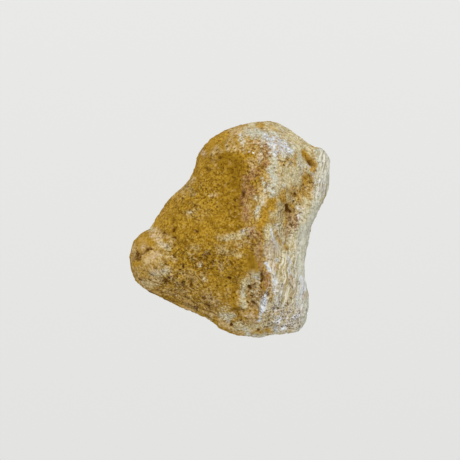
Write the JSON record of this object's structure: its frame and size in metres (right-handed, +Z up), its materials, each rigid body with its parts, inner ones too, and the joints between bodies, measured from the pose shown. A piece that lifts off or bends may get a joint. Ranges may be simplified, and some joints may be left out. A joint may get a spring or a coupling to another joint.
{
  "type": "geode",
  "caption": "Whole, unopened geode: an irregular nodule with a sloping face, a crest and a raised rim, lying on a small flat spot. A natural specimen or ornament.",
  "frame": {"origin": "centre of the bounding box's underside, on the surface that the stone rests on", "axes": "+Z up, +Y along the stone's length towards its rounded shoulder, +X towards its raised rim"},
  "size_m": [0.0716, 0.078, 0.0496],
  "materials": {
    "rind": "matt, granular weathered rind: ochre, with pale grey-cream, pink-brown and white patches"
  },
  "bodies": {
    "root": {"geode": "rind"}
  },
  "joints": []
}
